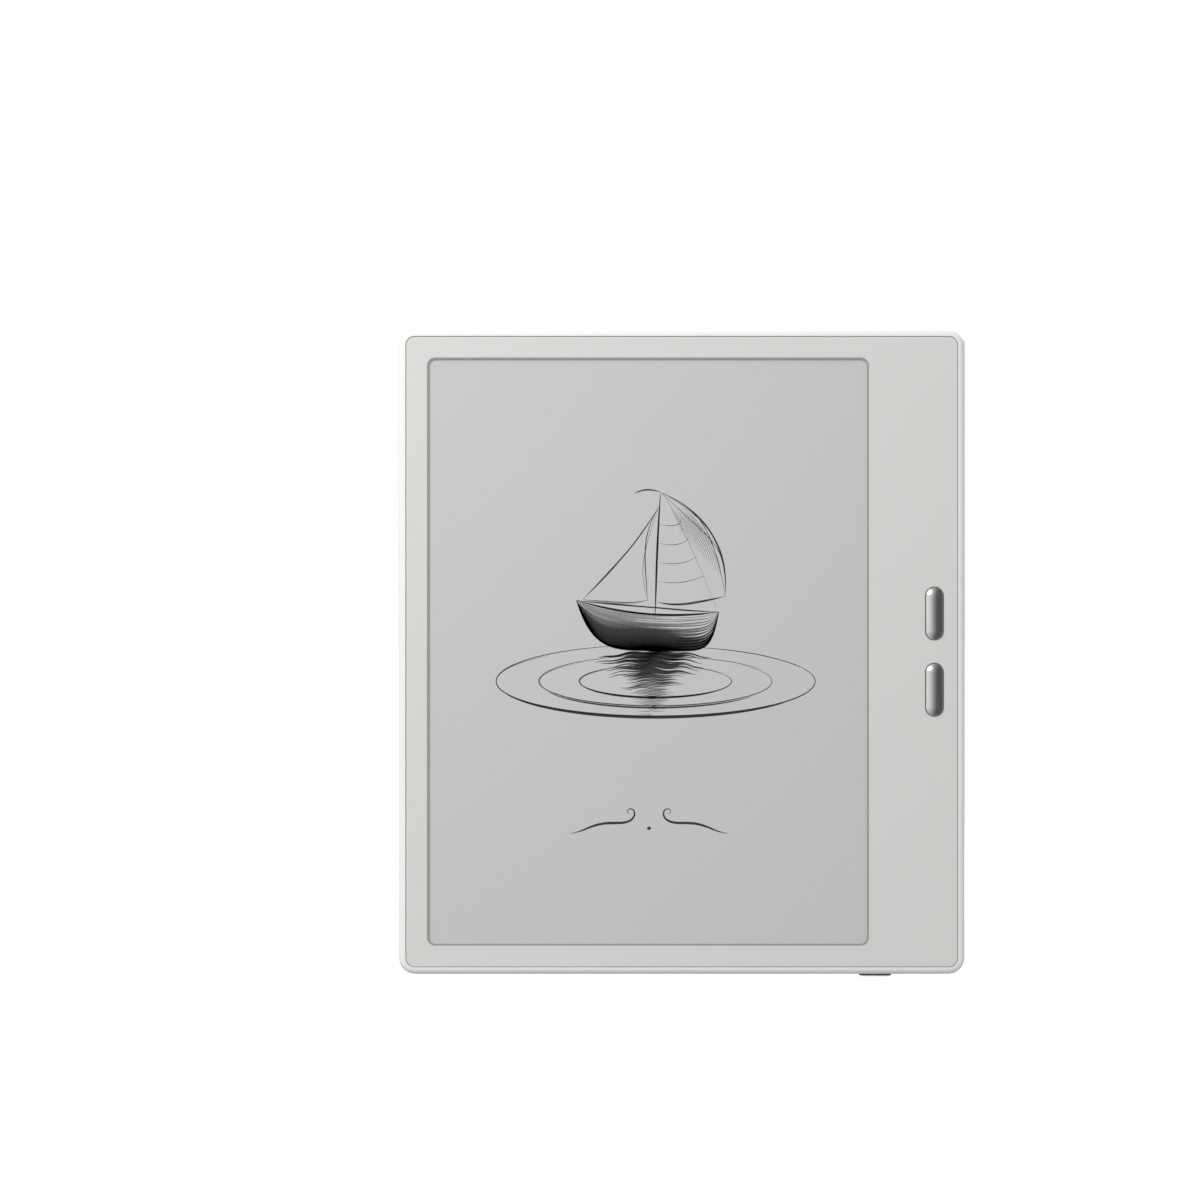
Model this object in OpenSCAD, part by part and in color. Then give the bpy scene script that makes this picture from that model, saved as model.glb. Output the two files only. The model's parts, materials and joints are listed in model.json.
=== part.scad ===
// Seven-inch e-reader with a wide grip: two page keys, a power key, a card tray, a charging port, two
// speakers and a leather-grained back. Millimetres.
// Origin: centre of the flat back face. +X points to the grip edge, +Y out of the back and +Z up, so the
// screen faces -Y.

/* [Body] */
// Width across the screen and the grip
body_w = 137; // [136:0.5:142]
// Height
body_h = 156; // [155:0.5:162]
// Thickness from the back face to the front rim
body_t = 6; // [6:0.1:6.4]
// Radius of the four outer corners
corner_r = 4; // [3.6:0.1:4.6]
// Rounding of the front rim
front_round = 1.6; // [1.2:0.1:1.7]
// Rounding of the back edge
back_round = 1; // [0.6:0.1:1.1]
// Width of the shell's rim round the front bezel
rim_w = 1.8; // [1.7:0.1:1.9]

/* [Screen] */
// Width of the screen window
window_w = 106.7; // [106:0.1:107]
// Height of the screen window
window_h = 142; // [141:0.1:142.4]
// Distance from the left edge of the body to the window
window_left = 7; // [6.9:0.1:7.1]
// Corner radius of the window
window_r = 1.95; // [1.2:0.05:2.2]
// How far the screen lies below the bezel
window_drop = 0.45; // [0.4:0.05:0.5]

/* [Page keys] */
// Width of a page key
key_w = 4.35; // [4:0.05:4.6]
// Length of a page key
key_l = 12.85; // [12:0.05:13]
// Gap between the two page keys
key_gap = 5.55; // [4:0.05:6]
// Distance from the grip edge to the middle of the keys
key_inset = 7.5; // [7.2:0.1:8]
// How far a key stands out of the bezel
key_proud = 1; // [0.8:0.05:1.1]
// Travel of a page key
key_travel = 0.35; // [0.2:0.05:0.35]

/* [Power key] */
// Length of the power key
power_l = 8; // [7:0.1:8.4]
// Thickness of the power key
power_w = 2.2; // [1.8:0.1:2.4]
// Distance from the grip edge to the middle of the power key
power_inset = 21.6; // [21.4:0.1:22]
// How far the power key stands below the bottom edge
power_proud = 0.5; // [0.4:0.05:0.7]
// Travel of the power key
power_travel = 0.3; // [0.2:0.05:0.3]

/* [Port edge] */
// Distance from the top edge to the middle of the charging port
port_down = 8.8; // [8.6:0.1:9]
// Distance from the top edge to the middle of the upper row of speaker holes
upper_row_down = 23.9; // [23.8:0.1:24.1]
// Distance from the bottom edge to the middle of the lower row of speaker holes
lower_row_up = 16.35; // [16.2:0.05:16.5]
// Number of holes in a row
row_holes = 8; // [4:1:8]
// Spacing of the holes
hole_pitch = 2.02; // [1.6:0.02:2.04]
// Diameter of a hole
hole_d = 0.9; // [0.6:0.05:1]
// Distance from the top edge to the middle of the card tray's face
tray_down = 50.38; // [50.2:0.02:50.6]
// Length of the card tray's face
tray_l = 15.55; // [15.4:0.05:15.7]
// Thickness of the card tray's face
tray_w = 1.9; // [1.8:0.05:2]

/* [Back panels] */
// Distance from the grip edge to the middle of the bar between the panels
divider_inset = 24.8; // [24:0.1:26]
// Width of that bar
divider_w = 0.9; // [0.8:0.1:1.4]
// Distance from the body's edge to a panel's edge
panel_rim = 1.8; // [1.7:0.1:2]
// Corner radius of the panels
panel_r = 2.5; // [1.5:0.1:3]
// Groove round each panel
panel_gap = 0.25; // [0.15:0.05:0.3]

/* [Hidden] */
$fn = 64;

// How far a cutting solid runs past the face it cuts
over = 0.5;

// Outer limits, and the inner faces of the side walls
half_w = body_w / 2;
half_h = body_h / 2;
wall_x = half_w - rim_w;
wall_z = half_h - rim_w;
wall_r = corner_r - rim_w;

// Layers behind the back face, counted towards the front
panel_proud = 0.05;
panel_t = 0.7;
tape_t = 0.1;
floor_t = 0.7;
pocket_y = -panel_t - tape_t;
floor_y = pocket_y - floor_t;
board_t = 0.8;
board_y = floor_y - board_t;

// Layers behind the front rim, counted towards the back
seam = 0.15;
bezel_y = -body_t + 0.05;
plate_t = 0.6;
plate_back = bezel_y + plate_t;
gasket_t = 0.1;
bead_w = 0.4;
bead_drop = 0.12;
film_y = bezel_y + window_drop;
film_t = 0.3;
guide_y = film_y + film_t;
guide_t = 0.4;
ink_y = guide_y + guide_t;
ink_t = 0.3;
glass_y = ink_y + ink_t;
glass_t = 0.5;
glue_y = glass_y + glass_t;
frame_y = glue_y + tape_t;
frame_t = 0.4;
frame_back = frame_y + frame_t;
flex_t = 0.15;

// Screen window and the layers below it, as [low x, low z, high x, high z]
window = [-half_w + window_left, -window_h / 2, -half_w + window_left + window_w, window_h / 2];
lip_w = 1.3;
film = grown(window, lip_w);
stack = [film[0], film[1], film[2] - 0.6, film[3]];
display_pocket = [film[0] - 0.2, film[1] - 0.9, film[2] + 0.2, film[3] + 0.2];
rib_w = 1.2;
grip_x0 = display_pocket[2] + rib_w;
grip_x1 = wall_x - rim_w;
grip_z = wall_z - 2;
grip_pocket = [grip_x0, -grip_z, grip_x1, grip_z];

// Page keys
key_x = half_w - key_inset;
key_z = (key_gap + key_l) / 2;
key_play = 0.1;
flange_t = 0.4;
flange_y = plate_back + 0.05;
flange_back = flange_y + flange_t;
flange_side = 0.78;
key_corner = 0.7;
key_crown = 3;
key_base = [key_x - 6, -17.5, grip_x1 - 0.1, 17.5];
switch_t = 0.6;
switch_y = frame_back - switch_t;
plunger_r = 0.85;
stem_r = 1.2;

// Power key, on the middle plane of the port edge
edge_y = -3.1;
power_x = half_w - power_inset;
power_flange_t = 0.5;
power_nub = 0.9;
power_corner = 0.3;
power_crown = 12;
power_switch_z = -wall_z + 0.05 + power_flange_t + power_nub + 0.85;

// Charging port: the standard opening, the wall of its metal shell and its depth
port_z = half_h - port_down;
port_l = 8.34;
port_w = 2.56;
port_wall = 0.3;
port_skin = 0.6;
port_depth = 7.35;
port_x1 = half_w - port_skin - 0.05;
port_x0 = port_x1 - port_depth;

// Speakers: the rows of holes lie a little in front of the middle plane
row_y = -3.6;
upper_row_z = half_h - upper_row_down;
lower_row_z = -half_h + lower_row_up;
speaker = [half_w - 18.1, -5.1, half_w - 4.3, -1.7];
speaker_half = 7.7;
duct_l = 15.2;
duct_w = 1.2;
duct_rim = 0.7;
mesh_t = 0.15;

// Card tray: a frame that carries a card 15 mm long, 11 mm wide and 0.7 mm thick
tray_z = half_h - tray_down;
tray_play = 0.1;
tray_face = 0.05;
tray_x0 = half_w - 20.3;
card_z = tray_z - 0.72;
card_l = 15.2;
card_w = 11.2;
tray_rail = 0.8;
tray_y = edge_y - 0.4;
tray_t = 0.9;
ledge_t = 0.15;
ledge_w = 0.7;
cage = [half_w - 19, card_z - 7.2, half_w - 2.2, card_z + 8.3];
cage_y = board_y - 1.5;
cage_wall = 0.15;

// Ejector: a rod behind the pin hole, and a lever that turns on a pin behind the tray
pin_z = tray_z + tray_l / 2 - 1.1;
pin_hole_r = 0.45;
rod_r = 0.4;
rod_x0 = half_w - 21.25;
rod_x1 = half_w - 2.5;
lever_arm = 4;
lever_x = half_w - 22.2;
lever_z = pin_z - lever_arm;
lever_r = 0.75;
lever_pin_r = 0.5;
lever_play = 0.05;

// Battery and mainboard
battery = [-half_w + 10.5, -62, half_w - 42.5, 48];
battery_y = frame_back + 0.1;
battery_back = floor_y - 0.15;
board_x0 = half_w - 39;
board_x1 = half_w - 3.6;
column_x1 = half_w - 19.1;
board_z1 = wall_z - 0.8;

// Screws that hold the mid frame down on the shell's posts, as [x, z]
screws = concat(
    [for (z = [-60, 0, 60]) [-half_w + 3.7, z]],
    [for (x = [-35, 20]) [x, wall_z - 1.9]],
    [for (x = [-35, 20]) [x, -wall_z + 1.5]],
    [[half_w - 5.9, -48], [half_w - 5.9, 41], [half_w - 15, wall_z - 6.2], [half_w - 11.5, -wall_z + 3]]
);
post_r = 1.3;
post_pilot_r = 0.62;
screw_r = 0.6;
screw_head_r = 1.1;
screw_head_t = 0.5;

// Cut-outs in the mid frame, as [low x, low z, high x, high z]
frame_cuts = [
    [half_w - 11, port_z - 5, half_w, port_z + 5],
    [half_w - 18.8, upper_row_z - 8, half_w, upper_row_z + 8],
    [half_w - 18.8, lower_row_z - 8, half_w, lower_row_z + 8],
    [half_w - 4.6, upper_row_z - 8.6, half_w, upper_row_z + 8.6],
    [half_w - 4.6, lower_row_z - 8.6, half_w, lower_row_z + 8.6],
    [half_w - 23.4, cage[1] - 0.3, half_w, cage[3] + 0.3],
    [key_x - 2.6, -key_z - 2.6, key_x + 2.6, key_z + 2.6],
    [power_x - 5.5, -half_h, power_x + 5.5, power_switch_z + 3.1],
    [grip_x0 + 0.4, -60.5, grip_x0 + 1.2, -41.5],
    [grip_x0 - 0.1, 39.5, grip_x0 + 0.6, 45.5]
];

// Notches in the bezel's ribs, with the depth that each starts from: [low x, low z, high x, high z, y]
rib_cuts = [
    [half_w - 11, port_z - 5, half_w, port_z + 5, edge_y - 1.75],
    [half_w - 4.6, upper_row_z - 8.6, half_w, upper_row_z + 8.6, edge_y - 1.65],
    [half_w - 4.6, lower_row_z - 8.6, half_w, lower_row_z + 8.6, edge_y - 1.65],
    [power_x - 5.5, -half_h, power_x + 5.5, -grip_z + 0.3, edge_y - 1.65],
    [film[2], -60.7, grip_x0 + over, -41.3, edge_y - 1.7],
    [film[2], 39.2, grip_x0 + over, 45.8, plate_back]
];

function grown(r, by) = [r[0] - by, r[1] - by, r[2] + by, r[3] + by];

// Plain rectangle from [low x, low z, high x, high z]
module area(r) translate([r[0], r[1]]) square([r[2] - r[0], r[3] - r[1]]);

// The same with rounded corners
module round_area(r, radius) {
    area([r[0] + radius, r[1], r[2] - radius, r[3]]);
    area([r[0], r[1] + radius, r[2], r[3] - radius]);
    for (x = [r[0] + radius, r[2] - radius], z = [r[1] + radius, r[3] - radius])
        translate([x, z]) circle(radius);
}

// A slab of thickness t parallel to the screen; its front face is at y
module layer(y, t) translate([0, y + t, 0]) rotate([90, 0, 0]) linear_extrude(t) children();

// Stadium outline
module pill(l, w) {
    square([l - w, w], center = true);
    for (side = [-1, 1]) translate([side * (l - w) / 2, 0]) circle(w / 2);
}

// Stadium along Z, extruded from x0 to x1 through the port edge
module edge_slot(x0, x1, y, z, l, w)
    translate([x0, y, z]) rotate([0, 90, 0]) linear_extrude(x1 - x0) pill(l, w);

// Rounded chip or can, as an area with a front face and a back face
module chip(r, y0, y1, radius = 0.3) layer(y0, y1 - y0) round_area(r, radius);

// Section through a key: straight sides, rounded shoulders and a crowned top
module crowned_section(w, h, shoulder, crown) {
    reach = w / 2 - shoulder;
    crown_y = h - crown;
    shoulder_y = crown_y + sqrt(pow(crown - shoulder, 2) - pow(reach, 2));
    spread = 1.1 * crown / (shoulder_y - crown_y);
    top_y = crown_y + 1.1 * crown;
    translate([-w / 2, 0]) square([w, shoulder_y]);
    for (side = [-1, 1]) translate([side * reach, shoulder_y]) circle(shoulder);
    intersection() {
        translate([0, crown_y]) circle(crown);
        polygon([[-reach, shoulder_y], [reach, shoulder_y], [reach * spread, top_y], [-reach * spread, top_y]]);
    }
}

// Pill-shaped key that rises along +Z from z = 0, with its length along Y
module crowned_pill(w, l, h, shoulder, crown) {
    straight = l - w;
    rotate([90, 0, 0]) linear_extrude(straight, center = true) crowned_section(w, h, shoulder, crown);
    for (side = [-1, 1]) translate([0, side * straight / 2, 0]) rotate_extrude()
        intersection() {
            crowned_section(w, h, shoulder, crown);
            square([w, h + over]);
        }
}

// Section through the body from its middle out to a rounded edge; y = 0 is the back
module edge_section(reach) {
    depth = body_t - panel_proud;
    square([reach - max(front_round, back_round), depth]);
    translate([0, back_round]) square([reach, depth - front_round - back_round]);
    square([reach - back_round, depth - front_round]);
    translate([reach - back_round, back_round]) circle(back_round);
    translate([reach - front_round, depth - front_round]) circle(front_round);
}

// Both halves of that section
module body_section(half) {
    edge_section(half);
    mirror([1, 0]) edge_section(half);
}

// The body's outer form: two crossing bars and four turned corners
module body_block() translate([0, -panel_proud, 0]) {
    mirror([0, 1, 0]) linear_extrude(body_h - 2 * corner_r, center = true) body_section(half_w);
    rotate([90, 0, 0]) rotate([90, 0, 90])
        linear_extrude(body_w - 2 * corner_r, center = true) body_section(half_h);
    for (x = [-1, 1], z = [-1, 1])
        translate([x * (half_w - corner_r), 0, z * (half_h - corner_r)])
            rotate([90, 0, 0]) rotate_extrude() edge_section(corner_r);
}

// Outlines of the two back panels
module grip_panel(by = 0) {
    left = half_w - divider_inset + divider_w / 2 + panel_gap;
    r = [left, -half_h + panel_rim, half_w - panel_rim, half_h - panel_rim];
    round_area(grown(r, by), panel_r + by);
}

module main_panel(by = 0) {
    right = half_w - divider_inset - divider_w / 2 - panel_gap;
    r = [-half_w + panel_rim, -half_h + panel_rim, right, half_h - panel_rim];
    round_area(grown(r, by), panel_r + by);
}

// Openings through the grip edge and the bottom edge
module speaker_holes(z)
    for (i = [0 : row_holes - 1])
        translate([wall_x - over, row_y, z + (i - (row_holes - 1) / 2) * hole_pitch])
            rotate([0, 90, 0]) cylinder(rim_w + 2 * over, hole_d / 2, hole_d / 2);

module port_opening() {
    edge_slot(wall_x, half_w + over, edge_y, port_z, port_l, port_w);
    edge_slot(wall_x - over, half_w - port_skin, edge_y, port_z, port_l + 0.76, -2 * (edge_y - floor_y));
}

module power_opening()
    translate([power_x, edge_y, -half_h - over])
        linear_extrude(rim_w + 2 * over) pill(power_l + 2 * key_play, power_w + 2 * key_play);

module posts()
    for (s = screws) translate([s[0], floor_y + 0.1, s[1]])
        rotate([90, 0, 0]) cylinder(floor_y + 0.1 - frame_back, post_r, post_r);

module post_pilots()
    for (s = screws) translate([s[0], floor_y - 0.4, s[1]])
        rotate([90, 0, 0]) cylinder(3, post_pilot_r, post_pilot_r);

module battery_ribs() {
    rib_h = 1;
    for (x = [battery[0] - 1.8, battery[2] + 0.9])
        layer(floor_y - rib_h, rib_h + 0.1) area([x, battery[1], x + 0.8, battery[3]]);
}

module rear_shell() color("whitesmoke") difference() {
    union() {
        difference() {
            body_block();
            layer(-body_t - over, floor_y + body_t + over)
                round_area([-wall_x, -wall_z, wall_x, wall_z], wall_r);
        }
        posts();
        battery_ribs();
    }
    post_pilots();
    layer(pocket_y, -pocket_y + over) {
        grip_panel(panel_gap);
        main_panel(panel_gap);
    }
    speaker_holes(upper_row_z);
    speaker_holes(lower_row_z);
    port_opening();
    edge_slot(wall_x - over, half_w + over, edge_y, tray_z, tray_l + 2 * tray_play, tray_w + 2 * tray_play);
    power_opening();
}

module grip_inlay() color("gainsboro") layer(-panel_t, panel_t) grip_panel();
module main_inlay() color("gainsboro") layer(-panel_t, panel_t) main_panel();
module grip_inlay_tape() color("lightyellow") layer(pocket_y, tape_t) grip_panel(-0.6);
module main_inlay_tape() color("lightyellow") layer(pocket_y, tape_t) main_panel(-0.6);

// Pressed sheet that stiffens the body and carries the screen in front and the boards behind
module mid_frame() color("silver") layer(frame_y, frame_t) difference() {
    round_area([-wall_x + 0.3, -wall_z + 0.3, wall_x - 0.3, wall_z - 0.3], wall_r - 0.3);
    for (r = frame_cuts) area(r);
    for (s = screws) translate(s) circle(screw_r + 0.15);
}

module frame_screws() color("dimgray")
    for (s = screws) translate([s[0], frame_y, s[1]]) {
        difference() {
            rotate([90, 0, 0]) cylinder(screw_head_t, screw_head_r, screw_head_r);
            for (turn = [0, 90]) rotate([0, turn, 0])
                translate([-0.65, -screw_head_t - over, -0.12]) cube([1.3, over + 0.25, 0.24]);
        }
        rotate([-90, 0, 0]) cylinder(1.8, screw_r, screw_r);
    }

// Bezel: a thin plate with ribs behind it that stand on the mid frame round the screen and the keys
module bezel_outline()
    round_area([-wall_x + seam, -wall_z + seam, wall_x - seam, wall_z - seam], wall_r - seam);

module rib_notches()
    for (c = rib_cuts) layer(c[4], frame_back - c[4]) area([c[0], c[1], c[2], c[3]]);

module screw_reliefs()
    for (s = screws) translate([s[0], frame_y + over, s[1]])
        rotate([90, 0, 0]) cylinder(screw_head_t + 0.25 + over, screw_head_r + 0.15, screw_head_r + 0.15);

module key_slots()
    for (side = [-1, 1]) translate([key_x, side * key_z]) rotate(90)
        pill(key_l + 2 * key_play, key_w + 2 * key_play);

module front_bezel() color("lightgray") difference() {
    layer(bezel_y, glue_y - bezel_y) bezel_outline();
    layer(bezel_y - over, body_t) round_area(window, window_r);
    layer(film_y - gasket_t, body_t) area(display_pocket);
    layer(plate_back, body_t) area(grip_pocket);
    layer(bezel_y - over, body_t) key_slots();
    rib_notches();
    screw_reliefs();
}

module bezel_tape() color("dimgray") difference() {
    layer(glue_y, tape_t) difference() {
        bezel_outline();
        area(display_pocket);
        area(grip_pocket);
    }
    rib_notches();
    screw_reliefs();
}

// Gasket between the bezel's lip and the screen; the bead on its inner edge shows as a fine line
module window_gasket() color("gray") difference() {
    union() {
        layer(film_y - gasket_t, gasket_t) round_area(grown(window, lip_w - 0.3), window_r);
        layer(bezel_y + bead_drop, film_y - bezel_y - bead_drop) round_area(window, window_r);
    }
    layer(bezel_y - over, body_t) round_area(grown(window, -bead_w), window_r - bead_w);
}

module touch_film() color("silver") layer(film_y, film_t) round_area(film, 1);
module light_guide() color("azure") layer(guide_y, guide_t) area(stack);

module light_strip() color("khaki") {
    strip = [film[0] + 5, film[1] - 0.75, film[2] - 5, film[1] - 0.05];
    leds = 9;
    led_pitch = (strip[2] - strip[0] - 8) / (leds - 1);
    layer(ink_y, flex_t) area(strip);
    for (i = [0 : leds - 1])
        layer(guide_y, guide_t)
            area([strip[0] + 2.5 + i * led_pitch, strip[1] + 0.1, strip[0] + 5.5 + i * led_pitch, strip[3]]);
}

module epaper_film() color("darkgray") layer(ink_y, ink_t) area(stack);
module glass_backplane() color("darkslategray") layer(glass_y, glass_t) area(film);

module display_tape() color("dimgray") layer(glue_y, tape_t) difference() {
    area(film);
    area(grown(film, -4));
}

// Flat cable that leaves a screen layer, turns back through the mid frame and runs to its connector
module folded_flex(y, z0, z1, turn_x, end_x) {
    start_x = stack[2] + 0.1;
    back = board_y - 0.7;
    layer(y, flex_t) area([start_x, z0, turn_x + flex_t, z1]);
    layer(y, back - y) area([turn_x, z0, turn_x + flex_t, z1]);
    layer(back - flex_t, flex_t) area([end_x, z0, turn_x + flex_t, z1]);
}

module display_flex() color("orange") folded_flex(glass_y - flex_t, -60, -42, grip_x0 + 0.7, board_x0 + 11);
module touch_flex() color("orange") folded_flex(guide_y, 40, 45, grip_x0 + 0.15, board_x0 + 12);

module battery_cell() color("slategray") {
    chip(battery, battery_y, battery_back, 1.5);
    seal = [battery[0] + 1, battery[3] - 0.5, battery[2] - 1, battery[3] + 5];
    layer(board_y - 0.4, 0.3) area(seal);
}

module battery_board() color("darkgreen")
    chip([battery[2] - 42, battery[3] + 0.6, battery[2] - 2, battery[3] + 4.4], board_y - 1, board_y - 0.4);

module battery_tape() color("lightyellow")
    for (x = [battery[0] + 8, battery[2] - 20])
        layer(battery_back, floor_y - battery_back) area([x, battery[1] + 7, x + 12, battery[3] - 8]);

module battery_lead() color("orange")
    layer(board_y - 1 - flex_t, flex_t) area([battery[2] - 8, battery[3] + 1.6, board_x0 + 5.3, battery[3] + 3.4]);

module battery_plug() color("ivory")
    chip([board_x0 + 2, battery[3] + 0.8, board_x0 + 5.5, battery[3] + 4.2], board_y - 1, board_y);

// Mainboard: a tall column with two wings that go round the speakers and the charging port
module mainboard() color("seagreen") layer(board_y, board_t) difference() {
    union() {
        area([board_x0, -wall_z + 2.2, column_x1, board_z1]);
        area([column_x1 - 1, -51, board_x1, upper_row_z - 8.7]);
        area([column_x1 - 1, upper_row_z + 8.7, board_x1, board_z1]);
    }
    area([half_w - 9.9, port_z - 4.7, half_w, port_z + 4.7]);
    for (s = screws) translate(s) circle(post_r + 0.3);
}

module processor() color("black")
    chip([board_x0 + 5, -14, board_x0 + 18, -1], board_y - 0.8, board_y);

module memory_chips() color("black")
    for (z = [-31, -22.5])
        chip([board_x0 + 5, z, board_x0 + 16, z + 7], board_y - 0.75, board_y);

module power_chip() color("black")
    chip([half_w - 16, -30, half_w - 10, -24], board_y - 0.6, board_y);

module radio_chip() color("black")
    chip([board_x0 + 6, 57, board_x0 + 12, 63], board_y - 0.6, board_y);

// Pressed shield can, open towards the board
module shield_can(r, h, wall = 0.15) difference() {
    chip(r, board_y - h, board_y, 0.6);
    layer(board_y - h + wall, h) round_area(grown(r, -wall), 0.6 - wall);
}

module processor_shield() color("lightsteelblue") shield_can([board_x0 + 2.5, -33, board_x0 + 19, 3], 1.1);
module radio_shield() color("lightsteelblue") shield_can([board_x0 + 2.5, 54, board_x0 + 16.5, 67], 1);

module graphite_sheet() color("darkslategray")
    layer(frame_back, board_y - 1.1 - frame_back) area([board_x0 + 1.5, -36, board_x0 + 19.3, 7]);

module hall_sensor() color("black")
    chip([half_w - 14, -45, half_w - 11, -43.4], board_y - 0.6, board_y, 0.2);

module flex_connectors() color("ivory") {
    chip([board_x0 + 10.5, -60, board_x0 + 13.5, -42], board_y - 0.7, board_y, 0.2);
    chip([board_x0 + 11, 40, board_x0 + 14, 45], board_y - 0.7, board_y, 0.2);
    chip([key_base[0] - 4.8, -3, key_base[0] - 2.4, 3], board_y - 0.65, board_y, 0.2);
}

module wifi_antenna() color("goldenrod")
    translate([board_x0 - 9, floor_y - 2.3, wall_z - 0.2]) cube([34, 2, 0.15]);

module antenna_lead() color("gray") {
    lead_x = board_x0 + 7;
    translate([lead_x, board_y - 0.45, board_z1 - 4.5]) cylinder(wall_z - 0.2 - board_z1 + 4.5, 0.35, 0.35);
    translate([lead_x, board_y, board_z1 - 5]) rotate([90, 0, 0]) cylinder(0.9, 0.9, 0.9);
}

module cover_magnets() color("gray")
    for (z = [-40, 25])
        chip([-wall_x + 0.8, z, -wall_x + 2.8, z + 15], frame_back + 0.1, floor_y - 0.1);

// Charging port: a drawn metal shell round an insulating tongue
module usb_shell() color("silver") difference() {
    edge_slot(port_x0, port_x1, edge_y, port_z, port_l + 2 * port_wall, port_w + 2 * port_wall);
    edge_slot(port_x0 + port_wall, port_x1 + over, edge_y, port_z, port_l, port_w);
}

module usb_tongue() color("black") {
    edge_slot(port_x0 + port_wall, port_x0 + 2, edge_y, port_z, port_l - 0.04, port_w - 0.04);
    translate([port_x0 + 1.8, edge_y - 0.35, port_z - 3.345]) cube([4.85, 0.7, 6.69]);
}

// Card socket: a cage with one passage for the tray and a narrow one for the eject rod
module card_socket() color("silver") difference() {
    chip(cage, cage_y, board_y, 0.2);
    translate([cage[0] - over, cage_y + cage_wall, card_z - 6.6])
        cube([cage[2] - cage[0] + 2 * over, 1.5 - 2 * cage_wall, 13.2]);
    translate([cage[0] - over, edge_y - 0.5, pin_z - 0.5])
        cube([cage[2] - cage[0] + 2 * over, 1, 1]);
}

module card_contacts() color("gold")
    for (i = [0 : 7])
        layer(board_y - cage_wall - 0.12, 0.12)
            area([cage[0] + 1.5, card_z - 4.4 + i * 1.1, cage[0] + 4.5, card_z - 3.8 + i * 1.1]);

module card_tray() color("whitesmoke") difference() {
    union() {
        edge_slot(wall_x - 0.1, half_w - tray_face, edge_y, tray_z, tray_l, tray_w);
        layer(tray_y, tray_t) area([
            tray_x0, card_z - card_w / 2 - tray_rail, wall_x, card_z + card_w / 2 + tray_rail
        ]);
    }
    card = [tray_x0 + 0.8, card_z - card_w / 2, tray_x0 + 0.8 + card_l, card_z + card_w / 2];
    layer(tray_y - over, tray_t - ledge_t + over) area(card);
    layer(tray_y - over, tray_t + 2 * over) area(grown(card, -ledge_w));
    translate([wall_x - over, edge_y, pin_z]) rotate([0, 90, 0])
        cylinder(rim_w + 2 * over, pin_hole_r, pin_hole_r);
}

module lever_pin() color("dimgray")
    translate([lever_x, board_y, lever_z]) rotate([90, 0, 0]) {
        cylinder(1.35, lever_pin_r, lever_pin_r);
        translate([0, 0, 1.1]) cylinder(0.25, 0.95, 0.95);
    }

module eject_rod() color("dimgray")
    translate([rod_x0, edge_y, pin_z]) rotate([0, 90, 0]) cylinder(rod_x1 - rod_x0, rod_r, rod_r);

module eject_lever() color("steelblue") layer(edge_y - 0.25, 0.5) difference() {
    union() {
        translate([lever_x, lever_z]) rotate(90) pill(2 * (lever_arm + lever_r), 2 * lever_r);
        translate([lever_x + 0.35, card_z]) circle(0.6);
    }
    translate([lever_x, lever_z]) circle(lever_pin_r + lever_play);
}

// Speaker box with a shallow diaphragm recess and a slot on the side of the holes
module speaker_box(z) difference() {
    chip([speaker[0], z - speaker_half, speaker[2], z + speaker_half], speaker[1], speaker[3], 1);
    translate([(speaker[0] + speaker[2]) / 2, speaker[1] - over, z])
        rotate([-90, 0, 0]) cylinder(over + 0.4, 5, 5);
    edge_slot(speaker[2] - 2, speaker[2] + over, row_y, z, duct_l - 0.2, duct_w);
}

module duct_ring(z) difference() {
    edge_slot(speaker[2], wall_x - mesh_t - 0.02, row_y, z, duct_l + 2 * duct_rim, duct_w + 2 * duct_rim - 0.5);
    edge_slot(speaker[2] - over, wall_x, row_y, z, duct_l, duct_w);
}

module upper_speaker() color("black") speaker_box(upper_row_z);
module lower_speaker() color("black") speaker_box(lower_row_z);
module speaker_gaskets() color("darkslategray") for (z = [upper_row_z, lower_row_z]) duct_ring(z);

module speaker_meshes() color("black")
    for (z = [upper_row_z, lower_row_z])
        edge_slot(wall_x - mesh_t - 0.02, wall_x - 0.02, row_y, z, duct_l + 2 * duct_rim - 0.2, duct_w + 0.6);

// Small board behind the page keys, with one switch for each key
module key_board() color("seagreen") layer(frame_back, 0.4) area(key_base);

module key_flex() color("orange")
    layer(frame_back + 0.4, flex_t) area([key_base[0] - 4.8, -2.5, key_base[0] + 2, 2.5]);

module page_switches() color("dimgray")
    for (side = [-1, 1]) difference() {
        chip([key_x - 2.1, side * key_z - 1.8, key_x + 2.1, side * key_z + 1.8], switch_y, frame_back);
        translate([key_x, switch_y - over, side * key_z])
            rotate([-90, 0, 0]) cylinder(over + key_travel + 0.1, plunger_r + 0.08, plunger_r + 0.08);
    }

module page_plunger(side) translate([key_x, switch_y + 0.05, side * key_z])
    rotate([90, 0, 0]) cylinder(key_travel + 0.05, plunger_r, plunger_r);

// Page key: a crowned metal cap on a flange that the bezel holds back, with a stem for the switch
module page_key(side) translate([key_x, 0, side * key_z]) {
    rise = flange_back - bezel_y + key_proud;
    translate([0, flange_back, 0]) rotate([90, 0, 0]) crowned_pill(key_w, key_l, rise, key_corner, key_crown);
    translate([0, flange_back, 0]) rotate([90, 0, 0]) linear_extrude(flange_t)
        rotate(90) pill(key_l + 2 * flange_side, key_w + 2 * flange_side);
    stem_y = switch_y - key_travel;
    translate([0, stem_y, 0]) rotate([90, 0, 0]) cylinder(stem_y - flange_back, stem_r, stem_r);
}

module page_forward_plunger() color("black") page_plunger(1);
module page_back_plunger() color("black") page_plunger(-1);
module page_forward_key() color("darkgray") page_key(1);
module page_back_key() color("darkgray") page_key(-1);

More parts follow.
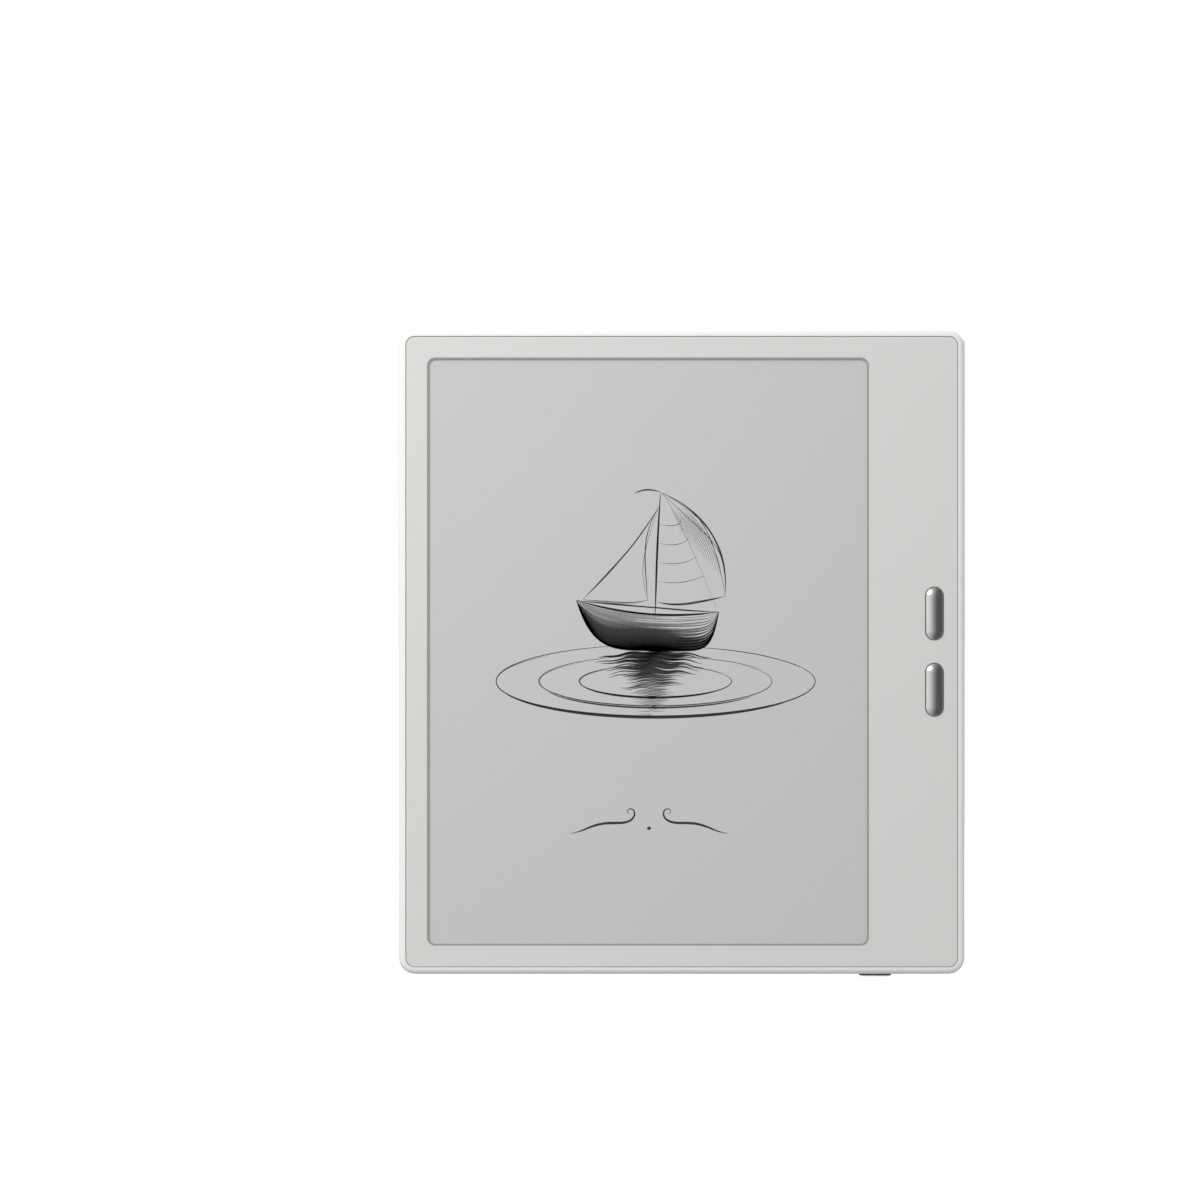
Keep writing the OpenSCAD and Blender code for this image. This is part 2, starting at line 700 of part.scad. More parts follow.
// Power key and its side-acting switch at the foot of the mainboard
module power_key() color("dimgray") translate([power_x, edge_y, 0]) {
    flange_z = -wall_z + 0.05;
    rise = half_h + power_proud + flange_z + 0.2;
    translate([0, 0, flange_z + 0.2]) rotate([180, 0, 90])
        crowned_pill(power_w, power_l, rise, power_corner, power_crown);
    translate([0, 0, flange_z]) linear_extrude(power_flange_t) pill(power_l + 1.4, power_w + 0.6);
    translate([-1.5, -0.6, flange_z]) cube([3, 1.2, power_flange_t + power_nub]);
}

module power_plunger() color("black")
    translate([power_x - 1.3, edge_y - 0.5, power_switch_z - 0.85]) cube([2.6, 1, 1.2]);

module power_switch() color("dimgray") difference() {
    chip([power_x - 2.5, power_switch_z, power_x + 2.5, power_switch_z + 2.7], frame_y, board_y, 0.2);
    translate([power_x - 1.4, edge_y - 0.6, power_switch_z - over]) cube([2.8, 1.2, over + power_travel + 0.45]);
}

rear_shell();
grip_inlay();
main_inlay();
grip_inlay_tape();
main_inlay_tape();
mid_frame();
frame_screws();
front_bezel();
bezel_tape();
window_gasket();
touch_film();
light_guide();
light_strip();
epaper_film();
glass_backplane();
display_tape();
display_flex();
touch_flex();
battery_cell();
battery_board();
battery_tape();
battery_lead();
battery_plug();
mainboard();
processor();
memory_chips();
power_chip();
radio_chip();
processor_shield();
radio_shield();
graphite_sheet();
hall_sensor();
flex_connectors();
wifi_antenna();
antenna_lead();
cover_magnets();
usb_shell();
usb_tongue();
card_socket();
card_contacts();
card_tray();
lever_pin();
eject_rod();
eject_lever();
upper_speaker();
lower_speaker();
speaker_gaskets();
speaker_meshes();
key_board();
key_flex();
page_switches();
page_forward_plunger();
page_back_plunger();
page_forward_key();
page_back_key();
power_switch();
power_plunger();
power_key();
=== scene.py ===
"""Looks of the e-reader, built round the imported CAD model. Metres; the screen faces -Y and +Z is up."""

import json
import math
import random

import bpy
import numpy as np
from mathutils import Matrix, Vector, noise


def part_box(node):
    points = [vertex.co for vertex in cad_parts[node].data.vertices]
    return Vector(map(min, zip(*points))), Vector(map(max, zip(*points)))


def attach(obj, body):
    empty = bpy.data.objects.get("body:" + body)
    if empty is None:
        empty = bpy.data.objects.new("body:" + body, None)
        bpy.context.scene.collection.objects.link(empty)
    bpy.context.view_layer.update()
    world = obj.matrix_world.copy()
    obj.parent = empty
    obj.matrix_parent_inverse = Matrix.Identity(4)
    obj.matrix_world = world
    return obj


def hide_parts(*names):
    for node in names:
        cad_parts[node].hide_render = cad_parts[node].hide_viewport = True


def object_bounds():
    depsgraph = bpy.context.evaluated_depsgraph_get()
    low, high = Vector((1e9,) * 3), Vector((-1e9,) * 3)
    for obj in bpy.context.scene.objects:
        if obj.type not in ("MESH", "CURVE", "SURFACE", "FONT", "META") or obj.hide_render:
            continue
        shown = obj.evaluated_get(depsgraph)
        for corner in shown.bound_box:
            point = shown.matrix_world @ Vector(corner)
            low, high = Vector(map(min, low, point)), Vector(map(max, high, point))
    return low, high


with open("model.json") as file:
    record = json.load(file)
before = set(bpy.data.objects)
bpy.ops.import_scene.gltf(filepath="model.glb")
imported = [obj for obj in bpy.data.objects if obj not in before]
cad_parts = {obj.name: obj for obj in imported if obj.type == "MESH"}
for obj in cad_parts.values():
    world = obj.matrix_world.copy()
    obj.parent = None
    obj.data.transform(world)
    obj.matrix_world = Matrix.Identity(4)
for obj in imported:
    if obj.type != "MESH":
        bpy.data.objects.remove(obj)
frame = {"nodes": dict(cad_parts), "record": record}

MM = 0.001
ROOT = "reader"

# Leather panels: outline, how far the skin lies under the solid's face, and its wrinkles
PANEL_CORNER = 2.5 * MM
PANEL_ROLL = 0.4 * MM
PANEL_GRID = 0.46 * MM
PANEL_SINK = 0.03 * MM
WRINKLE_HEIGHT = 0.06 * MM
# Slant of the folds: up to the right for someone who looks at the back
GRAIN_ANGLE = math.radians(-38)

# Drawing on the screen in millimetres: the boat's bow, stern and waterline, the mast, and the flourish
BOW_X = -25.5
STERN_X = 9.0
WATER_Z = 0.4
MAST_X = -6.0
FLOURISH = (-7.9, -42.7)
# How far the ink stands off the film, and its own thickness
INK_GAP = 0.002 * MM
INK_THICKNESS = 0.008 * MM

# Studio: the camera, the soft lamps as place, size and power, and the gap under the power key
LENS = 103.5
CAMERA_PLACE = (-22.4 * MM, -841 * MM, 12.1 * MM)
LAMPS = {
    "key_light": ((-0.42, -0.42, 0.42), 0.34, 2.9),
    "side_light": ((0.26, 0.3, 0.34), 0.3, 1.9),
    "back_light": ((-0.2, 0.3, 0.38), 0.3, 1.4),
}
FLOOR_GAP = 0.3 * MM
FLOOR_REACH = 6.0


def srgb(red, green, blue):
    """A display colour, 0 to 255, as scene linear values."""
    linear = []
    for value in (red, green, blue):
        share = value / 255
        linear.append(share / 12.92 if share <= 0.04045 else ((share + 0.055) / 1.055) ** 2.4)
    return (*linear, 1.0)


# ---------------------------------------------------------------- materials


class Look:
    """A material under construction: its node tree, its shader and object coordinates in millimetres."""

    def __init__(self, name, colour, roughness, metallic=0.0):
        self.material = bpy.data.materials.new(name)
        self.material.use_nodes = True
        self.tree = self.material.node_tree
        self.shader = self.tree.nodes["Principled BSDF"]
        self.shader.inputs["Base Color"].default_value = colour
        self.shader.inputs["Roughness"].default_value = roughness
        self.shader.inputs["Metallic"].default_value = metallic
        self.material.diffuse_color = colour
        self.colour = colour
        self.roughness = roughness
        coordinates = self.node("ShaderNodeTexCoord")
        self.place = self.mapped(coordinates.outputs["Object"], scale=(1000, 1000, 1000))

    def node(self, kind, **settings):
        made = self.tree.nodes.new(kind)
        for name, value in settings.items():
            setattr(made, name, value)
        return made

    def link(self, source, target):
        self.tree.links.new(source, target)

    def mapped(self, source, scale=(1, 1, 1), turn=(0, 0, 0)):
        mapping = self.node("ShaderNodeMapping")
        mapping.inputs["Scale"].default_value = scale
        mapping.inputs["Rotation"].default_value = turn
        self.link(source, mapping.inputs["Vector"])
        return mapping.outputs["Vector"]

    def noise(self, scale, detail=2.0, distortion=0.0, place=None):
        made = self.node("ShaderNodeTexNoise")
        made.inputs["Scale"].default_value = scale
        made.inputs["Detail"].default_value = detail
        made.inputs["Distortion"].default_value = distortion
        self.link(place or self.place, made.inputs["Vector"])
        return made.outputs["Fac"]

    def wave(self, scale, direction, distortion=0.0):
        made = self.node("ShaderNodeTexWave", bands_direction=direction)
        made.inputs["Scale"].default_value = scale
        made.inputs["Distortion"].default_value = distortion
        self.link(self.place, made.inputs["Vector"])
        return made.outputs["Fac"]

    def math(self, operation, first, second):
        made = self.node("ShaderNodeMath", operation=operation)
        for socket, value in zip(made.inputs, (first, second)):
            if isinstance(value, (int, float)):
                socket.default_value = value
            else:
                self.link(value, socket)
        return made.outputs["Value"]

    def span(self, source, low, high):
        """A value from 0 to 1, moved to run from low to high."""
        made = self.node("ShaderNodeMapRange")
        made.inputs["To Min"].default_value = low
        made.inputs["To Max"].default_value = high
        self.link(source, made.inputs["Value"])
        return made.outputs["Result"]

    def tint(self, factor, dark, light, reach=(0.0, 1.0)):
        """Base colour that runs between two shares of the look's own colour over a reach of the factor."""
        ramp = self.node("ShaderNodeValToRGB")
        for element, share, position in zip(ramp.color_ramp.elements, (dark, light), reach):
            element.color = (*[min(1.0, c * share) for c in self.colour[:3]], 1.0)
            element.position = position
        self.link(factor, ramp.inputs["Fac"])
        self.link(ramp.outputs["Color"], self.shader.inputs["Base Color"])

    def vary_roughness(self, factor, by):
        varied = self.span(factor, self.roughness - by, self.roughness + by)
        self.link(varied, self.shader.inputs["Roughness"])

    def bump(self, height, depth_mm):
        made = self.node("ShaderNodeBump")
        made.inputs["Distance"].default_value = depth_mm * MM
        self.link(height, made.inputs["Height"])
        self.link(made.outputs["Normal"], self.shader.inputs["Normal"])


def moulded(name, colour, roughness=0.5, grain=9.0, depth_mm=0.004, tone=0.03):
    """Matt moulded plastic with a fine spark-eroded grain."""
    look = Look(name, colour, roughness)
    fine = look.noise(grain, detail=3)
    broad = look.noise(0.12, detail=2)
    look.tint(fine, 1 - tone, 1 + tone)
    look.vary_roughness(broad, 0.04)
    look.bump(fine, depth_mm)
    return look.material


def satin_metal(name, colour, roughness=0.34, grain=14.0, depth_mm=0.003, brushed=None):
    """Blasted metal, or brushed metal when a stretch per axis is given."""
    look = Look(name, colour, roughness, metallic=1.0)
    place = look.mapped(look.place, scale=brushed) if brushed else None
    fine = look.noise(grain, detail=2, place=place)
    look.tint(fine, 0.94, 1.04)
    look.vary_roughness(fine, 0.06)
    look.bump(fine, depth_mm)
    return look.material


def leather(name, colour):
    """White coated leather: short slanting wrinkles with fine pores between them."""
    look = Look(name, colour, 0.52)
    turned = look.mapped(look.place, turn=(0, GRAIN_ANGLE, 0))
    stretched = look.mapped(turned, scale=(1.0, 1.0, 2.0))
    wrinkles_and_crease_shade = look.noise(1.2, detail=2.5, distortion=0.8, place=stretched)
    pores = look.noise(4.0, detail=2)
    height = look.math("ADD", wrinkles_and_crease_shade, look.math("MULTIPLY", pores, 0.15))
    # Painted shade and highlight: the base colour darkens in the folds' troughs and lightens on their
    # crests, following the same fold height that drives the bump.
    look.tint(wrinkles_and_crease_shade, 0.82, 1.06, reach=(0.34, 0.56))
    look.vary_roughness(wrinkles_and_crease_shade, 0.08)
    look.bump(height, 1.2)
    return look.material


def screen(name, colour):
    """Etched film over electronic paper: matt, with the paper's fine mottle."""
    look = Look(name, colour, 0.6)
    mottle = look.noise(4.5, detail=4)
    look.tint(mottle, 0.97, 1.03)
    look.bump(look.noise(16, detail=2), 0.002)
    return look.material


def clear_sheet(name, colour, roughness=0.15):
    look = Look(name, colour, roughness)
    haze = look.noise(0.6, detail=3)
    look.shader.inputs["Transmission Weight"].default_value = 0.6
    look.shader.inputs["IOR"].default_value = 1.49
    look.tint(haze, 0.92, 1.0)
    look.vary_roughness(haze, 0.05)
    return look.material


def striped(name, colour, pitch=1.2, direction="Z", dark=0.72):
    """Flat cable, contacts or a circuit board with tracks running one way."""
    look = Look(name, colour, 0.42)
    tracks = look.wave(pitch, direction, distortion=0.4)
    look.tint(tracks, dark, 1.1)
    look.bump(tracks, 0.01)
    return look.material


def woven(name, colour):
    look = Look(name, colour, 0.7)
    weave = look.math("MULTIPLY", look.wave(3.2, "Y"), look.wave(3.2, "Z"))
    look.tint(weave, 0.5, 1.6)
    look.bump(weave, 0.03)
    return look.material


def ink(name, colour):
    """Drawn line with the uneven black of electronic ink."""
    look = Look(name, colour, 0.7)
    look.tint(look.noise(3.0, detail=4), 0.75, 1.3)
    look.bump(look.noise(12, detail=2), 0.001)
    return look.material


def make_slot_materials():
    """One material for each material slot of the record."""
    white = srgb(243, 243, 242)
    return {
        "shell_white": moulded("shell_white", white, 0.46, grain=7, depth_mm=0.004, tone=0.015),
        "panel_leather": leather("panel_leather", srgb(248, 248, 248)),
        "adhesive": moulded("adhesive", srgb(224, 220, 206), 0.55),
        "frame_metal": satin_metal("frame_metal", srgb(200, 202, 204), 0.4, brushed=(0.05, 1, 1)),
        "steel": satin_metal("steel", srgb(186, 188, 190), 0.3, brushed=(1, 1, 0.1)),
        "bezel_grey": moulded("bezel_grey", srgb(221, 220, 217), 0.5, grain=8, depth_mm=0.003, tone=0.02),
        "gasket_grey": moulded("gasket_grey", srgb(158, 158, 157), 0.8, grain=12),
        "screen_film": screen("screen_film", srgb(203, 203, 203)),
        "light_guide": clear_sheet("light_guide", srgb(245, 248, 250)),
        "ink_film": moulded("ink_film", srgb(190, 190, 188), 0.8),
        "panel_glass": clear_sheet("panel_glass", srgb(90, 104, 110)),
        "led_strip": striped("led_strip", srgb(236, 226, 150), 0.6, "X"),
        "flex_amber": striped("flex_amber", srgb(190, 118, 38)),
        "battery_foil": satin_metal("battery_foil", srgb(178, 180, 184), 0.36, grain=2, depth_mm=0.02),
        "board_green": striped("board_green", srgb(22, 92, 56), 0.7, "DIAGONAL"),
        "chip_black": moulded("chip_black", srgb(34, 34, 35), 0.55),
        "connector_ivory": moulded("connector_ivory", srgb(230, 224, 204), 0.45),
        "graphite": moulded("graphite", srgb(62, 63, 66), 0.35, grain=3),
        "contact_gold": satin_metal("contact_gold", srgb(226, 186, 98), 0.28),
        "magnet": satin_metal("magnet", srgb(196, 197, 200), 0.2),
        "speaker_black": moulded("speaker_black", srgb(38, 38, 39), 0.5),
        "mesh_black": woven("mesh_black", srgb(30, 30, 30)),
        "key_metal": satin_metal("key_metal", srgb(178, 178, 178), 0.34),
        # Power key: the dark base colour is partly the key's own dark finish and partly painted shade for
        # its place under the bottom edge.
        "power_metal": satin_metal("power_metal", srgb(52, 52, 53), 0.45),
    }


def dress_cad_nodes(materials):
    """Puts each CAD node's finish on it."""
    for part in frame["record"]["subparts"]:
        mesh = frame["nodes"][part["node"]].data
        mesh.materials.clear()
        mesh.materials.append(materials[part["material_slot"]])


# ---------------------------------------------------------------- meshes


def add_mesh(name, vertices, faces, material, smooth=True):
    mesh = bpy.data.meshes.new(name)
    mesh.from_pydata(vertices, [], faces)
    mesh.validate()
    mesh.materials.append(material)
    mesh.polygons.foreach_set("use_smooth", [smooth] * len(mesh.polygons))
    piece = bpy.data.objects.new(name, mesh)
    bpy.context.scene.collection.objects.link(piece)
    return piece


def edge_steps(half, corner):
    """Positions across a panel: close together where the edge rolls over and round the corners."""
    roll = [half - PANEL_ROLL * share for share in (0, 0.12, 0.3, 0.6)]
    bend = [half - corner + corner * math.sin(math.radians(angle)) for angle in (0, 12, 24, 36, 48, 58)]
    inner = half - corner
    count = math.ceil(2 * inner / PANEL_GRID)
    middle = list(np.linspace(-inner, inner, count + 1))
    outer = sorted(value for value in bend[1:] + roll if value > inner)
    return [-value for value in reversed(outer)] + middle + outer


def wrinkle(x, z):
    """Height of the leather grain, from about -1 to 1: short slanting folds of uneven length."""
    along = x * math.cos(GRAIN_ANGLE) + z * math.sin(GRAIN_ANGLE)
    across = z * math.cos(GRAIN_ANGLE) - x * math.sin(GRAIN_ANGLE)
    drift = noise.noise(Vector((x * 0.12, z * 0.12, 4.0)))
    folds = noise.noise(Vector((along * 0.42, (across + 1.5 * drift) * 0.85, 0.0)))
    pebbles = noise.noise(Vector((along * 0.8, across * 1.0, 7.5)))
    return 0.7 * folds + 0.5 * pebbles


def edge_distance(x, z, half_x, half_z):
    """How far a point lies inside the panel's rounded outline."""
    dx = abs(x) - (half_x - PANEL_CORNER)
    dz = abs(z) - (half_z - PANEL_CORNER)
    if dx > 0 and dz > 0:
        return PANEL_CORNER - math.hypot(dx, dz)
    return PANEL_CORNER - max(dx, dz)


def leather_panel(node, material):
    """The panel's own solid with its edge rolled down into the groove and its face wrinkled."""
    low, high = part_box(node)
    centre_x, centre_z = (low.x + high.x) / 2, (low.z + high.z) / 2
    half_x, half_z = (high.x - low.x) / 2, (high.z - low.z) / 2
    columns = edge_steps(half_x, PANEL_CORNER)
    rows = edge_steps(half_z, PANEL_CORNER)
    vertices = []
    for z in rows:
        into = max(0.0, abs(z) - (half_z - PANEL_CORNER))
        reach = half_x - PANEL_CORNER + math.sqrt(max(0.0, PANEL_CORNER**2 - into**2))
        for column in columns:
            x = column * reach / half_x
            edge = edge_distance(x, z, half_x, half_z)
            bend = max(0.0, PANEL_ROLL - edge)
            roll = PANEL_ROLL - math.sqrt(max(0.0, PANEL_ROLL**2 - bend**2))
            rise = WRINKLE_HEIGHT * min(1.0, edge / PANEL_ROLL) * wrinkle(x / MM, z / MM)
            vertices.append((centre_x + x, high.y - PANEL_SINK - roll + rise, centre_z + z))
    width, height = len(columns), len(rows)
    faces = [
        (j * width + i, (j + 1) * width + i, (j + 1) * width + i + 1, j * width + i + 1)
        for j in range(height - 1)
        for i in range(width - 1)
    ]
    ring = (
        list(range(width))
        + [j * width + width - 1 for j in range(1, height)]
        + [(height - 1) * width + i for i in range(width - 2, -1, -1)]
        + [j * width for j in range(height - 2, 0, -1)]
    )
    start = len(vertices)
    vertices += [(vertices[k][0], low.y, vertices[k][2]) for k in ring]
    vertices.append((centre_x, low.y, centre_z))
    for k in range(len(ring)):
        after = (k + 1) % len(ring)
        faces.append((ring[k], ring[after], start + after, start + k))
        faces.append((start + k, start + after, len(vertices) - 1))
    panel = add_mesh(node + "_leather", vertices, faces, material)
    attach(panel, ROOT)
    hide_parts(node)


# ---------------------------------------------------------------- drawing on the screen


class Drawing:
    """Ink strokes in the plane of the screen, as closed ribbons in one mesh.

    Points are (x, z) in millimetres.
    """

    def __init__(self, film_y):
        self.back = film_y - INK_GAP
        self.front = self.back - INK_THICKNESS
        self.vertices = []
        self.faces = []
        self.random = random.Random(7)

    def stroke(self, points, width, taper=0.6):
        """A line along the points that thins towards both ends."""
        points = np.array(points, float)
        heading = np.gradient(points, axis=0)
        heading /= np.maximum(np.linalg.norm(heading, axis=1, keepdims=True), 1e-9)
        side = np.stack([-heading[:, 1], heading[:, 0]], axis=1)
        share = np.linspace(0, 1, len(points))
        swell = np.clip(np.sin(math.pi * share), 0.0, 1.0) ** taper
        half = np.maximum(0.5 * width * swell, 0.02)[:, None]
        start = len(self.vertices)
        for left, right in zip(points + side * half, points - side * half):
            front_first = ((left, self.front), (right, self.front), (right, self.back), (left, self.back))
            for (x, z), y in front_first:
                self.vertices.append((x * MM, y, z * MM))
        for i in range(len(points) - 1):
            here, there = start + 4 * i, start + 4 * i + 4
            for k in range(4):
                after = (k + 1) % 4
                self.faces.append((here + k, there + k, there + after, here + after))
        last = start + 4 * len(points) - 4
        self.faces.append((start, start + 1, start + 2, start + 3))
        self.faces.append((last + 3, last + 2, last + 1, last))

    def sketch(self, points, width, times=3, wander=0.5):
        """The same line drawn several times by a loose hand."""
        points = np.array(points, float)
        share = np.linspace(0, 1, len(points))
        for turn in range(times):
            shift = [self.random.uniform(-wander, wander) for _ in range(4)]
            bend = np.sin(math.pi * share)
            moved = points + np.stack([
                shift[0] * bend + shift[2] * np.sin(2 * math.pi * share),
                shift[1] * bend + shift[3] * np.sin(2 * math.pi * share),
            ], axis=1)
            self.stroke(moved, width * (1.0 if turn == 0 else 0.45))

    def piece(self, name, material):
        made = add_mesh(name, self.vertices, self.faces, material, smooth=False)
        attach(made, ROOT)


def curve(start, bend, end, count=40):
    """A bow from start to end, pulled towards bend."""
    share = np.linspace(0, 1, count)[:, None]
    a, b, c = (np.array(point, float) for point in (start, bend, end))
    return (1 - share) ** 2 * a + 2 * share * (1 - share) * b + share**2 * c


def ellipse_arc(centre, radii, first, last, count=90):
    angles = np.radians(np.linspace(first, last, count))
    return np.stack([centre[0] + radii[0] * np.cos(angles), centre[1] + radii[1] * np.sin(angles)], axis=1)


def hull_line(share, count=70):
    """A line along the hull: the rail at 0, the keel at 1."""
    along = np.linspace(0, 1, count)
    rail = WATER_Z + 7.4 + 4.6 * (1 - along) ** 2.2 + 1.8 * along**2.5
    keel = WATER_Z + 12.0 * (1 - along) ** 9 + 9.2 * along**22
    x = BOW_X + (STERN_X - BOW_X) * along
    return np.stack([x, rail + (keel - rail) * share], axis=1)


def draw_hull(drawing):
    """A small open hull, shaded with strokes that follow its planks."""
    rows = 36
    for row in range(rows + 1):
        share = row / rows
        line = hull_line(share)
        loose = 1 - share
        first = int(drawing.random.uniform(0, 6) * loose)
        last = len(line) - int(drawing.random.uniform(4, 60) * loose**1.5)
        drawing.stroke(line[first:last], 0.12 + 0.42 * share**1.5)
        if row % 3 == 0:
            drawing.stroke(line[len(line) - 22:], 0.08 + 0.3 * share)
    near_rail, keel = hull_line(0.0), hull_line(1.0)
    bulge = 1.5 * np.sin(np.linspace(0, math.pi, len(keel)))
    far_rail = near_rail + np.stack([np.zeros(len(keel)), bulge], axis=1)
    drawing.sketch(near_rail, 0.5, times=3, wander=0.15)
    drawing.sketch(far_rail, 0.32, times=2, wander=0.2)
    drawing.sketch(keel, 0.6, times=2, wander=0.2)


def draw_rig(drawing):
    """Mast, boom and two sails in loose thin lines."""
    foot, top = (MAST_X - 0.4, 8.4), (MAST_X + 0.9, 38.5)
    drawing.sketch(curve(foot, (MAST_X, 24), top), 0.5, times=2, wander=0.12)
    clew, tack = (MAST_X + 16.5, 13.4), (BOW_X + 1.6, 12.6)
    main_leech = curve(top, (MAST_X + 16.5, 30.0), clew)
    main_foot = curve((MAST_X, 12.0), (MAST_X + 8, 10.7), clew)
    jib_head, jib_clew = (MAST_X + 0.5, 35.0), (MAST_X - 2.2, 12.4)
    jib_luff = curve(jib_head, (MAST_X - 7.5, 22.0), tack)
    jib_leech = curve(jib_head, (MAST_X - 5.5, 22.0), jib_clew)
    drawing.sketch(main_leech, 0.36, times=4, wander=0.8)
    drawing.sketch(main_foot, 0.34, times=3, wander=0.2)
    drawing.sketch(jib_luff, 0.3, times=3, wander=0.6)
    drawing.sketch(jib_leech, 0.24, times=2, wander=0.5)
    drawing.sketch(curve(tack, (MAST_X - 9, 10.9), jib_clew), 0.22, times=2, wander=0.25)
    for i in range(16):
        pull = 0.97 - 0.035 * i
        shade = curve(top, (MAST_X + 1 + 15.5 * pull, 30.0), (MAST_X + 16.5 * pull, 12.9))
        drawing.stroke(shade[8 + 2 * (i % 3):34 - i], 0.11 - 0.004 * i)
    for i in range(4):
        lift = 4.6 * i
        outer_end = (MAST_X + 11.6 - 1.9 * i, 18.4 + lift)
        drawing.stroke(curve((MAST_X + 0.3, 17 + lift), (MAST_X + 6, 15.8 + lift), outer_end), 0.13)
    drawing.stroke(curve(top, (MAST_X - 2.5, 39.8), (MAST_X - 5.5, 38.2)), 0.4)
    drawing.stroke(curve(top, (MAST_X + 4.0, 36.0), (STERN_X - 0.5, 10.4)), 0.08)


def draw_water(drawing):
    """Rings of ripples round the hull, and its broken reflection."""
    centre = (MAST_X - 0.3, WATER_Z - 7.6)
    for radii, width in (((38.3, 8.6), 0.34), ((28.5, 6.2), 0.26), ((18.5, 3.9), 0.3)):
        for first, last, share in ((132, 405, 1.0), (100, 200, 0.6), (196, 318, 1.7), (20, 74, 0.6)):
            swing = drawing.random.uniform(-8, 8)
            loose_x = radii[0] * drawing.random.uniform(0.985, 1.012)
            loose = (loose_x, radii[1] * drawing.random.uniform(0.95, 1.03))
            drawing.stroke(ellipse_arc(centre, loose, first + swing, last + swing), width * share)
    rows = 46
    for i in range(rows):
        share = i / rows
        z = WATER_Z - 0.5 - 15.5 * share
        reach = (13.5 * (1 - share) ** 0.9 + 0.8) * drawing.random.uniform(0.5, 1.0)
        middle = MAST_X - 1.5 + drawing.random.uniform(-2.0, 2.0)
        x = np.linspace(middle - reach, middle + reach, 40)
        ripple = z + 0.2 * np.sin(x * 0.9 + 7 * share) - 0.008 * (x - middle) ** 2
        drawing.stroke(np.stack([x, ripple], axis=1), 0.1 + 0.5 * (1 - share) ** 1.6)


def draw_flourish(drawing):
    """A plain pen flourish without letters: two mirrored swashes that curl up beside a dot."""
    share = np.linspace(0, 1, 160)
    heading = 0.5 * np.sin(2.1 * math.pi * share) * (1 - share) + 6.9 * share**7
    step = 21.5 / len(share)
    x = np.cumsum(np.cos(heading)) * step - 19.5
    z = np.cumsum(np.sin(heading)) * step - 1.2
    for side in (-1, 1):
        swash = np.stack([FLOURISH[0] - side * x, FLOURISH[1] + z], axis=1)
        drawing.stroke(swash, 0.62, taper=0.8)
    dot = np.array([[-0.55, 0.0], [-0.2, 0.0], [0.0, 0.0], [0.2, 0.0], [0.55, 0.0]]) + FLOURISH
    drawing.stroke(dot, 0.9, taper=0.5)


def make_drawing():
    low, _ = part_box("touch_film")
    drawing = Drawing(low.y)
    draw_hull(drawing)
    draw_rig(drawing)
    draw_water(drawing)
    draw_flourish(drawing)
    drawing.piece("screen_drawing", ink("drawing_ink", srgb(46, 46, 46)))


# ---------------------------------------------------------------- studio


def make_camera():
    data = bpy.data.cameras.new("camera")
    data.lens = LENS
    data.sensor_width = 36
    camera = bpy.data.objects.new("camera", data)
    camera.location = CAMERA_PLACE
    camera.rotation_euler = (math.radians(90), 0, 0)
    bpy.context.scene.collection.objects.link(camera)
    bpy.context.scene.camera = camera


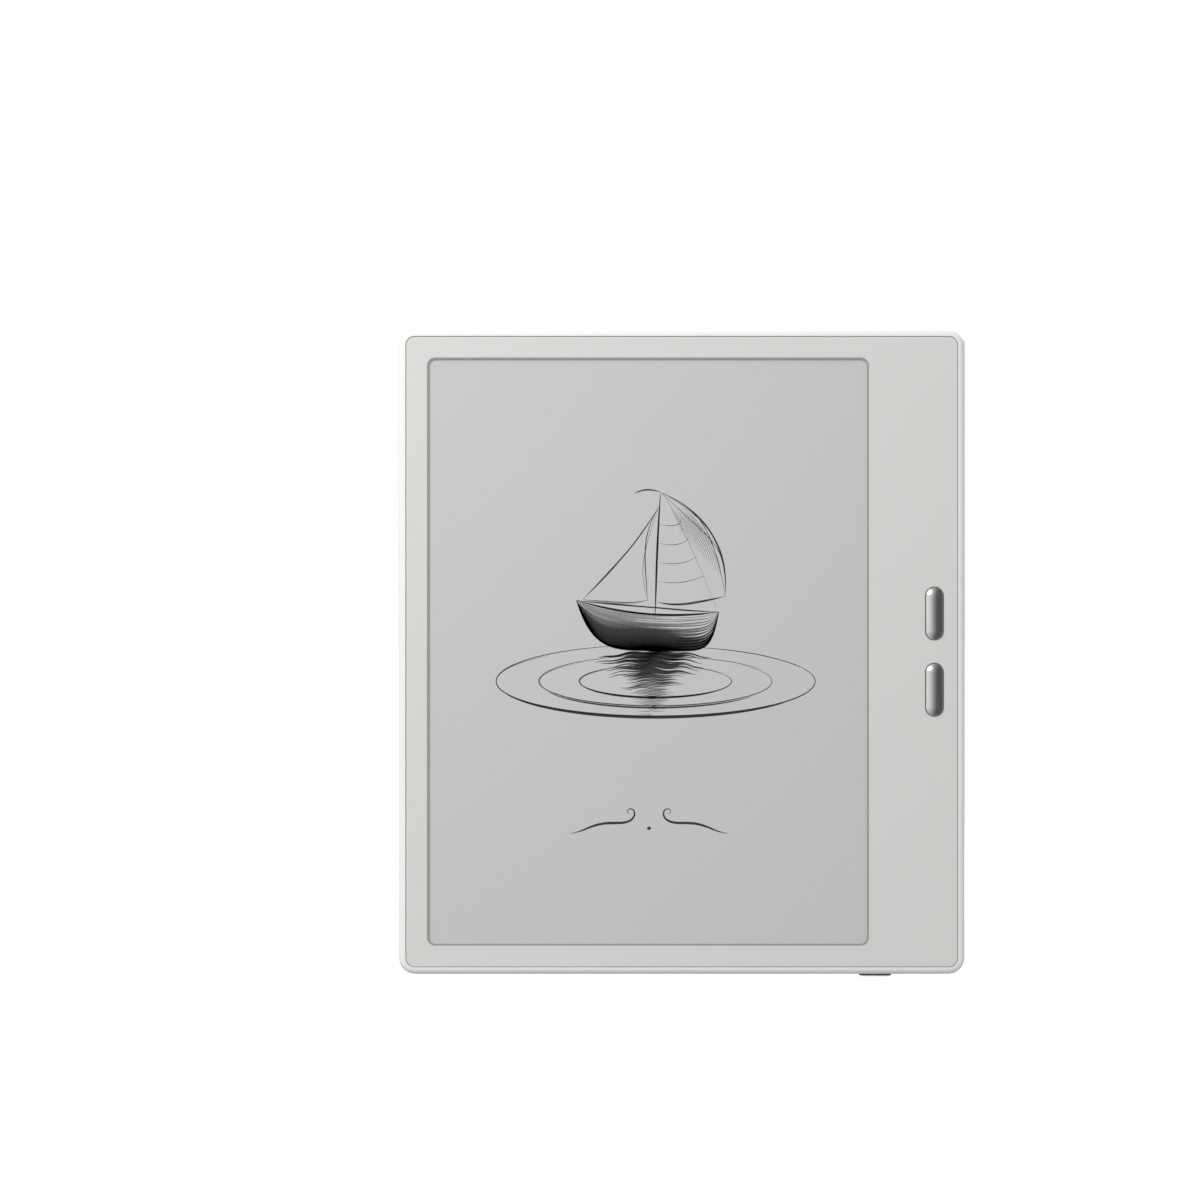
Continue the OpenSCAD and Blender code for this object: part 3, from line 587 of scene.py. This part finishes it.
def make_world():
    """White to the eye, with soft light that is strongest from the front, above and the right.

    Gloss sees a bright left and a dark right instead.
    """
    world = bpy.data.worlds.new("studio")
    world.use_nodes = True
    tree = world.node_tree
    tree.nodes.clear()
    direction = tree.nodes.new("ShaderNodeTexCoord")
    path = tree.nodes.new("ShaderNodeLightPath")
    output = tree.nodes.new("ShaderNodeOutputWorld")

    def chained(kind, operation, source, value):
        made = tree.nodes.new(kind)
        made.operation = operation
        made.inputs[1].default_value = value
        tree.links.new(source, made.inputs[0])
        return made.outputs["Value"]

    def sky(level, slant=(0, 0, 0), least=0.0):
        """Light of one level that grows along slant and never falls below least."""
        slope = chained("ShaderNodeVectorMath", "DOT_PRODUCT", direction.outputs["Generated"], slant)
        raised = chained("ShaderNodeMath", "ADD", slope, level)
        made = tree.nodes.new("ShaderNodeBackground")
        made.inputs["Color"].default_value = (1, 1, 1, 1)
        tree.links.new(chained("ShaderNodeMath", "MAXIMUM", raised, least), made.inputs["Strength"])
        return made.outputs["Background"]

    def chosen(ray, otherwise, light):
        mix = tree.nodes.new("ShaderNodeMixShader")
        for source, target in ((path.outputs[ray], 0), (otherwise, 1), (light, 2)):
            tree.links.new(source, mix.inputs[target])
        return mix.outputs["Shader"]

    soft = sky(0.46, slant=(0.1, -0.22, 0.14))
    gloss = sky(0.5, slant=(-1.1, 0, 0.25), least=0.15)
    lit = chosen("Is Glossy Ray", soft, gloss)
    tree.links.new(chosen("Is Camera Ray", lit, sky(1.0)), output.inputs["Surface"])
    bpy.context.scene.world = world


def soft_light(name, place, size, power):
    """Square lamp that faces the object's origin."""
    data = bpy.data.lights.new(name, "AREA")
    data.shape = "SQUARE"
    data.size = size
    data.energy = power
    lamp = bpy.data.objects.new(name, data)
    lamp.location = place
    lamp.rotation_euler = (-Vector(place)).to_track_quat("-Z", "Y").to_euler()
    lamp.visible_camera = False
    bpy.context.scene.collection.objects.link(lamp)


def make_floor():
    """Pale floor just under the power key. It stays white and doesn't light the object from below."""
    low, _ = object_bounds()
    look = Look("floor_white", (0.9, 0.9, 0.9, 1.0), 0.9)
    look.tint(look.noise(0.004, detail=2), 0.98, 1.02)
    look.shader.inputs["Emission Color"].default_value = (1, 1, 1, 1)
    look.shader.inputs["Emission Strength"].default_value = 0.75
    height = low[2] - FLOOR_GAP
    signs = ((-1, -1), (1, -1), (1, 1), (-1, 1))
    corners = [(x * FLOOR_REACH, y * FLOOR_REACH, height) for x, y in signs]
    floor = add_mesh("floor", corners, [(0, 1, 2, 3)], look.material, smooth=False)
    floor.visible_diffuse = False
    floor.visible_glossy = False


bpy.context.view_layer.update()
slot_materials = make_slot_materials()
dress_cad_nodes(slot_materials)
leather_panel("grip_inlay", slot_materials["panel_leather"])
leather_panel("main_inlay", slot_materials["panel_leather"])
make_drawing()

make_camera()
make_world()
for lamp_name, (place, size, power) in LAMPS.items():
    soft_light(lamp_name, place, size, power)
make_floor()
bpy.context.scene.view_settings.view_transform = "Standard"
